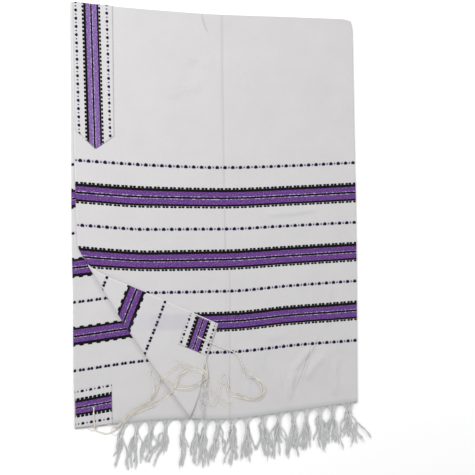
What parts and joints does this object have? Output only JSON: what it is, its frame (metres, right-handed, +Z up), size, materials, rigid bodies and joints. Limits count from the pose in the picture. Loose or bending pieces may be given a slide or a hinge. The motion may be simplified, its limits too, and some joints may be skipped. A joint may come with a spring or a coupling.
{
  "type": "tallit prayer shawl",
  "caption": "Striped prayer shawl folded to a quarter and laid flat, its corner turned up, with knotted fringe and corner tassels.",
  "frame": {"origin": "on the surface it lies on, at the middle of the laid part's outline, fringe included", "axes": "+X along the hem, away from the selvedge with the neckband; +Y from the hem to the middle fold; +Z up, out of the surface"},
  "size_m": [0.7422, 1.154, 0.0233],
  "materials": {
    "wool": "off-white woven wool with purple and black stripes",
    "striped_cloth": "purple and black striped cloth with a pale ground",
    "fringe_wool": "twisted off-white wool",
    "ivory_string": "plied ivory wool string"
  },
  "bodies": {
    "root": {"front_half": "wool", "back_half": "wool", "hidden_layers": "wool", "neckband": "striped_cloth", "corner_patch_front": "striped_cloth", "corner_patch_back": "striped_cloth", "fringe_front": "fringe_wool", "fringe_corner": "fringe_wool", "fringe_back": "fringe_wool", "fringe_hidden": "fringe_wool", "tassel_front": "ivory_string", "tassel_back": "ivory_string"}
  },
  "joints": []
}
